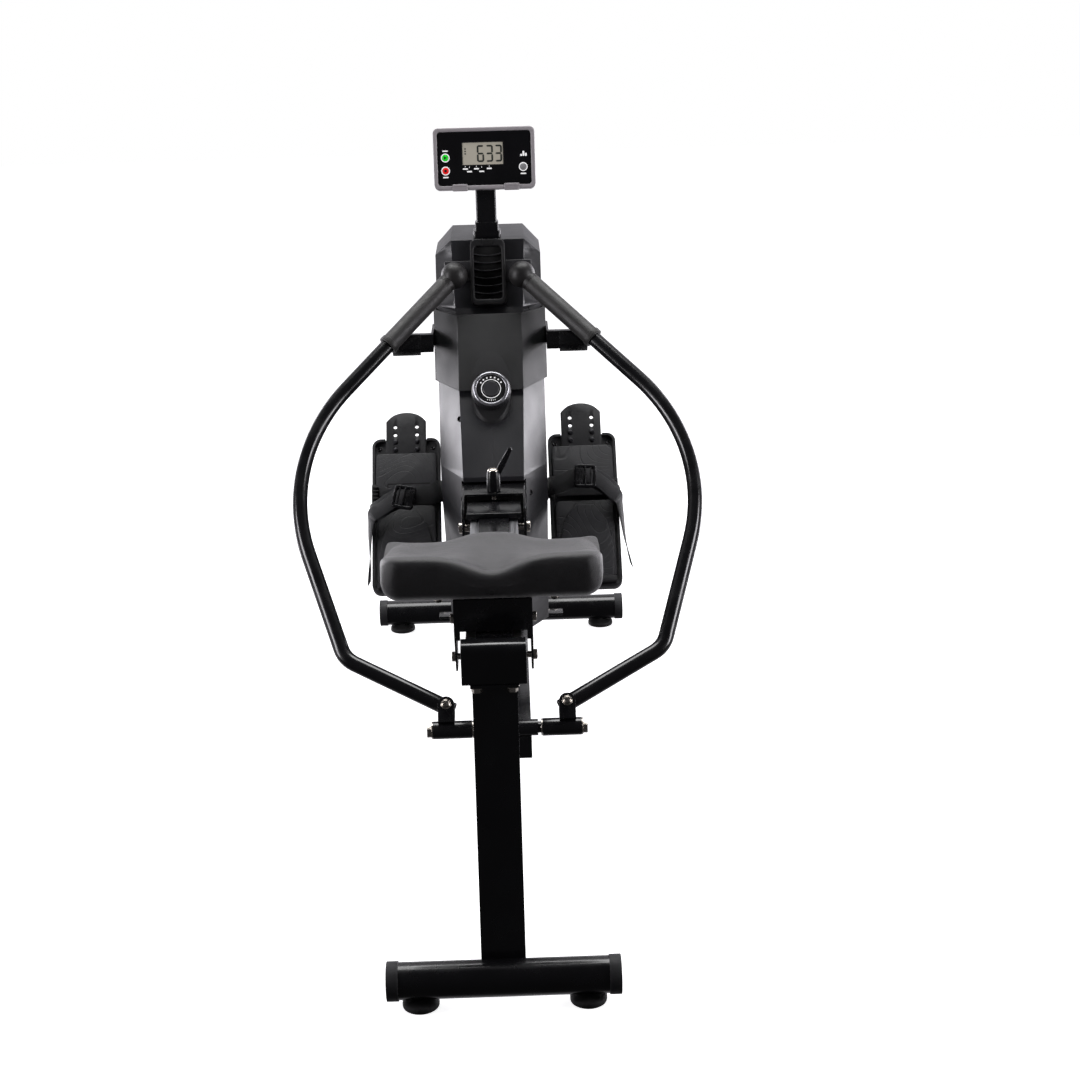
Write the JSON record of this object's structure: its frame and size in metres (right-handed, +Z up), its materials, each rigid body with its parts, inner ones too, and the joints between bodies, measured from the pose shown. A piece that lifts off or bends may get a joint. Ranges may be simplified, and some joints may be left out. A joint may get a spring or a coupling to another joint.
{
  "type": "rowing machine",
  "caption": "Indoor rower: sliding seat on a folding rail, swinging tube arms with ball grips, tilting foot plates, tall flywheel housing and a monitor on a mast.",
  "frame": {"origin": "middle of the footprint, on the floor", "axes": "+Z up, +Y forward from the rower towards the monitor, +X to the rower's right"},
  "size_m": [0.6784, 1.429, 1.0444],
  "materials": {
    "black_paint": "gloss black powder coat",
    "housing_plastic": "satin black moulding",
    "guard_plastic": "matt black moulding",
    "clip_plastic": "gloss black moulding",
    "cap_plastic": "textured black plastic",
    "foot_rubber": "black rubber",
    "track_steel": "bare drawn steel",
    "nickel": "bright nickel plate",
    "shaft_steel": "blacked steel",
    "wheel_iron": "machined iron",
    "roller_nylon": "natural nylon",
    "grip_rubber": "satin moulded rubber",
    "ball_plastic": "satin black plastic",
    "seat_skin": "grained black skin over foam",
    "lever_plastic": "black plastic",
    "knob_plastic": "dark satin plastic",
    "knob_silver": "silver painted ring",
    "monitor_plastic": "black face in a pale bezel",
    "lcd": "grey-green liquid crystal",
    "button_green": "green button",
    "button_red": "red button",
    "button_grey": "grey button",
    "pedal_plastic": "matt black moulding",
    "webbing": "black polyester webbing",
    "buckle_plastic": "black ladder buckle"
  },
  "bodies": {
    "front_frame": {"front_stabiliser": "black_paint", "front_end_caps": "cap_plastic", "low_beam": "black_paint", "upright_post": "black_paint", "housing_left": "housing_plastic", "housing_right": "housing_plastic", "guard_shell": "guard_plastic", "arm_clips": "clip_plastic", "knob_pod": "guard_plastic", "ribbed_frame": "guard_plastic", "mast": "black_paint", "arm_axle": "black_paint", "frame_bolts": "nickel", "fold_bracket": "black_paint", "frame_shafts": "shaft_steel", "magnet_bracket": "shaft_steel"},
    "flywheel": {"flywheel": "wheel_iron"},
    "tension_knob": {"tension_knob": "knob_plastic", "knob_bezel": "knob_silver"},
    "monitor": {"monitor_case": "monitor_plastic", "lcd_window": "lcd"},
    "button_start": {"button_start": "button_green"},
    "button_stop": {"button_stop": "button_red"},
    "button_mode": {"button_mode": "button_grey"},
    "rail": {"rail_tube": "black_paint", "track_strips": "track_steel", "rail_brackets": "black_paint", "rail_bolts": "nickel", "rear_leg": "black_paint", "rear_stabiliser": "black_paint", "rear_end_caps": "cap_plastic"},
    "clamp_lever": {"clamp_lever": "lever_plastic"},
    "seat": {"seat_carriage": "black_paint", "seat_pad": "seat_skin", "roller_bolts": "nickel"},
    "rollers_rear": {"rollers_rear": "roller_nylon"},
    "rollers_front": {"rollers_front": "roller_nylon"},
    "rollers_lower": {"rollers_lower": "roller_nylon"},
    "arm_pivot_left": {"arm_sleeve_left": "black_paint", "ear_bolt_left": "nickel"},
    "arm_left": {"arm_tube_left": "black_paint", "arm_grip_left": "grip_rubber", "arm_ball_left": "ball_plastic"},
    "pedal_left": {"foot_plate_left": "pedal_plastic", "foot_strap_left": "webbing", "strap_buckle_left": "buckle_plastic"},
    "toe_left": {"toe_extension_left": "pedal_plastic"},
    "arm_pivot_right": {"arm_sleeve_right": "black_paint", "ear_bolt_right": "nickel"},
    "arm_right": {"arm_tube_right": "black_paint", "arm_grip_right": "grip_rubber", "arm_ball_right": "ball_plastic"},
    "pedal_right": {"foot_plate_right": "pedal_plastic", "foot_strap_right": "webbing", "strap_buckle_right": "buckle_plastic"},
    "toe_right": {"toe_extension_right": "pedal_plastic"},
    "rear_foot_left": {"rear_foot_left": "foot_rubber"},
    "rear_foot_right": {"rear_foot_right": "foot_rubber"},
    "front_foot_left": {"front_foot_left": "foot_rubber"},
    "front_foot_right": {"front_foot_right": "foot_rubber"}
  },
  "joints": [
    {"name": "rail_fold", "type": "hinge", "parent": "front_frame", "child": "rail", "pos_m": [0, 0.012, 0.441], "axis": [1, 0, 0], "range_deg": [-75, 0]},
    {"name": "seat_slide", "type": "slide", "parent": "rail", "child": "seat", "axis": [0, 1, 0], "range_m": [0, 0.32]},
    {"name": "roller_turn_rear", "type": "hinge", "parent": "seat", "child": "rollers_rear", "pos_m": [0, -0.506, 0.4843], "axis": [1, 0, 0], "continuous": true},
    {"name": "roller_turn_front", "type": "hinge", "parent": "seat", "child": "rollers_front", "pos_m": [0, -0.394, 0.4843], "axis": [1, 0, 0], "continuous": true},
    {"name": "roller_turn_lower", "type": "hinge", "parent": "seat", "child": "rollers_lower", "pos_m": [0, -0.506, 0.4287], "axis": [1, 0, 0], "continuous": true},
    {"name": "clamp_lever_turn", "type": "hinge", "parent": "front_frame", "child": "clamp_lever", "pos_m": [0, 0.059, 0.488], "axis": [0, 0, 1], "range_deg": [-150, 60]},
    {"name": "knob_turn", "type": "hinge", "parent": "front_frame", "child": "tension_knob", "pos_m": [0, 0.198, 0.622], "axis": [0, -0.848, 0.5299], "range_deg": [-120, 120]},
    {"name": "flywheel_spin", "type": "hinge", "parent": "front_frame", "child": "flywheel", "pos_m": [0, 0.545, 0.35], "axis": [1, 0, 0], "continuous": true},
    {"name": "monitor_tilt", "type": "hinge", "parent": "front_frame", "child": "monitor", "pos_m": [0, 0.392, 0.942], "axis": [1, 0, 0], "range_deg": [-10, 10]},
    {"name": "button_start_press", "type": "slide", "parent": "monitor", "child": "button_start", "axis": [0, 0.9781, -0.2079], "range_m": [0, 0.0015], "stiffness_N_per_m": 300},
    {"name": "button_stop_press", "type": "slide", "parent": "monitor", "child": "button_stop", "axis": [0, 0.9781, -0.2079], "range_m": [0, 0.0015], "stiffness_N_per_m": 300},
    {"name": "button_mode_press", "type": "slide", "parent": "monitor", "child": "button_mode", "axis": [0, 0.9781, -0.2079], "range_m": [0, 0.0015], "stiffness_N_per_m": 300},
    {"name": "arm_swing_left", "type": "hinge", "parent": "front_frame", "child": "arm_pivot_left", "pos_m": [-0.0745, -0.188, 0.173], "axis": [1, 0, 0], "range_deg": [0, 60]},
    {"name": "arm_open_left", "type": "hinge", "parent": "arm_pivot_left", "child": "arm_left", "pos_m": [-0.084, -0.16503, 0.20137], "axis": [0, -0.7771, 0.6293], "range_deg": [0, 35]},
    {"name": "pedal_tilt_left", "type": "hinge", "parent": "front_frame", "child": "pedal_left", "pos_m": [-0.158, 0.312, 0.401], "axis": [1, 0, 0], "range_deg": [-25, 0]},
    {"name": "toe_adjust_left", "type": "slide", "parent": "pedal_left", "child": "toe_left", "axis": [0, 0.6428, 0.766], "range_m": [-0.02, 0.02]},
    {"name": "arm_swing_right", "type": "hinge", "parent": "front_frame", "child": "arm_pivot_right", "pos_m": [0.0975, -0.188, 0.173], "axis": [1, 0, 0], "range_deg": [0, 60]},
    {"name": "arm_open_right", "type": "hinge", "parent": "arm_pivot_right", "child": "arm_right", "pos_m": [0.107, -0.16503, 0.20137], "axis": [0, 0.7771, -0.6293], "range_deg": [0, 35]},
    {"name": "pedal_tilt_right", "type": "hinge", "parent": "front_frame", "child": "pedal_right", "pos_m": [0.158, 0.312, 0.401], "axis": [1, 0, 0], "range_deg": [-25, 0]},
    {"name": "toe_adjust_right", "type": "slide", "parent": "pedal_right", "child": "toe_right", "axis": [0, 0.6428, 0.766], "range_m": [-0.02, 0.02]},
    {"name": "rear_foot_left_screw", "type": "hinge", "parent": "rail", "child": "rear_foot_left", "pos_m": [-0.1126, -0.688, 0.01], "axis": [0, 0, 1], "continuous": true},
    {"name": "rear_foot_right_screw", "type": "hinge", "parent": "rail", "child": "rear_foot_right", "pos_m": [0.1126, -0.688, 0.01], "axis": [0, 0, 1], "continuous": true},
    {"name": "front_foot_left_screw", "type": "hinge", "parent": "front_frame", "child": "front_foot_left", "pos_m": [-0.2039, 0.688, 0.01], "axis": [0, 0, 1], "continuous": true},
    {"name": "front_foot_right_screw", "type": "hinge", "parent": "front_frame", "child": "front_foot_right", "pos_m": [0.2039, 0.688, 0.01], "axis": [0, 0, 1], "continuous": true}
  ],
  "couplings": [
    {"joint": "roller_turn_rear", "follows": "seat_slide", "rad_per_m": -58.824},
    {"joint": "roller_turn_front", "follows": "seat_slide", "rad_per_m": -58.824},
    {"joint": "roller_turn_lower", "follows": "seat_slide", "rad_per_m": 76.923}
  ]
}
